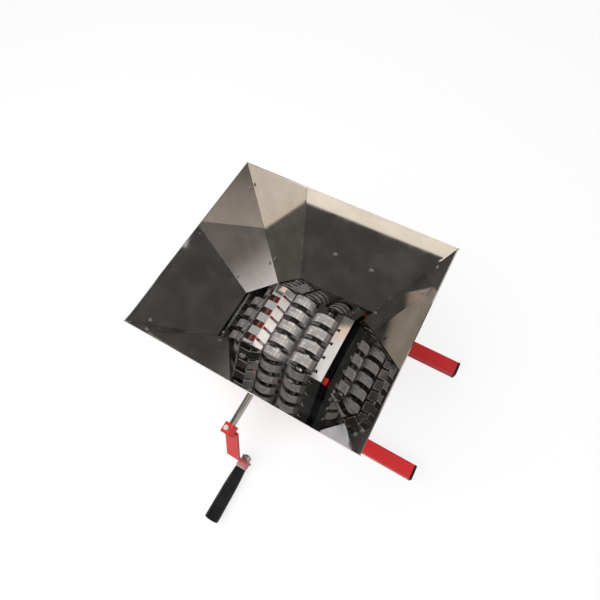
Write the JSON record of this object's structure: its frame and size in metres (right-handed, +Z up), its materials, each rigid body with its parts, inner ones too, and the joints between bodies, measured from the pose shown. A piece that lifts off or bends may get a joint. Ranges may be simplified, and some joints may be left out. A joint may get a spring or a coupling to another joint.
{
  "type": "apple scratter",
  "caption": "Flared square hopper over counter-turning rollers of hooked blades, carried on long square rails and turned by a hand crank, for crushing apples.",
  "frame": {"origin": "middle of the machine in the plane of the undersides of the two rails, where they lie on the rim that carries them", "axes": "+X along the rails, +Y from the crank side towards the gear side, +Z up"},
  "size_m": [0.534, 0.4829, 0.3255],
  "materials": {
    "mirror_steel": "mirror polished stainless sheet",
    "brushed_steel": "fine ground stainless bar",
    "zinc_steel": "zinc plated, slightly dull",
    "red_paint": "smooth semi-gloss enamel",
    "black_plastic": "moulded, low sheen",
    "bronze": "turned sintered bronze"
  },
  "bodies": {
    "frame": {"seam_rivet_front_left_1": "zinc_steel", "seam_rivet_front_left_2": "zinc_steel", "rail_cap_front_left": "black_plastic", "stay_front_left": "red_paint", "seam_rivet_front_right_1": "zinc_steel", "seam_rivet_front_right_2": "zinc_steel", "rail_cap_front_right": "black_plastic", "stay_front_right": "red_paint", "hopper_front_wall": "mirror_steel", "rail_front": "red_paint", "end_plate_front": "red_paint", "bush_front_drive": "bronze", "bush_front_idler": "bronze", "seam_rivet_rear_left_1": "zinc_steel", "seam_rivet_rear_left_2": "zinc_steel", "rail_cap_rear_left": "black_plastic", "stay_rear_left": "red_paint", "seam_rivet_rear_right_1": "zinc_steel", "seam_rivet_rear_right_2": "zinc_steel", "rail_cap_rear_right": "black_plastic", "stay_rear_right": "red_paint", "hopper_rear_wall": "mirror_steel", "rail_rear": "red_paint", "end_plate_rear": "red_paint", "bush_rear_drive": "bronze", "bush_rear_idler": "bronze", "hopper_left_wall": "mirror_steel", "comb_left": "mirror_steel", "side_plate_left": "red_paint", "stay_bolt_left": "zinc_steel", "stay_nut_left": "zinc_steel", "hopper_right_wall": "mirror_steel", "comb_right": "mirror_steel", "side_plate_right": "red_paint", "stay_bolt_right": "zinc_steel", "stay_nut_right": "zinc_steel"},
    "drive_roller": {"drive_blade_1": "mirror_steel", "drive_blade_2": "mirror_steel", "drive_blade_3": "mirror_steel", "drive_blade_4": "mirror_steel", "drive_blade_5": "mirror_steel", "drive_shaft": "brushed_steel", "collar_drive": "zinc_steel", "gear_drive": "zinc_steel", "crank_hub": "red_paint", "crank_hub_screw": "zinc_steel", "crank_arm": "red_paint", "handle_spindle": "zinc_steel", "handle_nut": "zinc_steel", "handle_washer": "zinc_steel"},
    "idler_roller": {"idler_blade_1": "mirror_steel", "idler_blade_2": "mirror_steel", "idler_blade_3": "mirror_steel", "idler_blade_4": "mirror_steel", "idler_shaft": "brushed_steel", "collar_idler": "zinc_steel", "gear_idler": "zinc_steel"},
    "grip": {"handle_grip": "black_plastic"}
  },
  "joints": [
    {"name": "crank_turn", "type": "hinge", "parent": "frame", "child": "drive_roller", "pos_m": [-0.026, 0, 0.086], "axis": [0, 1, 0], "continuous": true},
    {"name": "idler_turn", "type": "hinge", "parent": "frame", "child": "idler_roller", "pos_m": [0.026, 0, 0.086], "axis": [0, 1, 0], "continuous": true},
    {"name": "grip_spin", "type": "hinge", "parent": "drive_roller", "child": "grip", "pos_m": [0.0011, -0.28, -0.02267], "axis": [0, 1, 0], "continuous": true}
  ],
  "couplings": [
    {"joint": "idler_turn", "follows": "crank_turn", "ratio": -1}
  ]
}
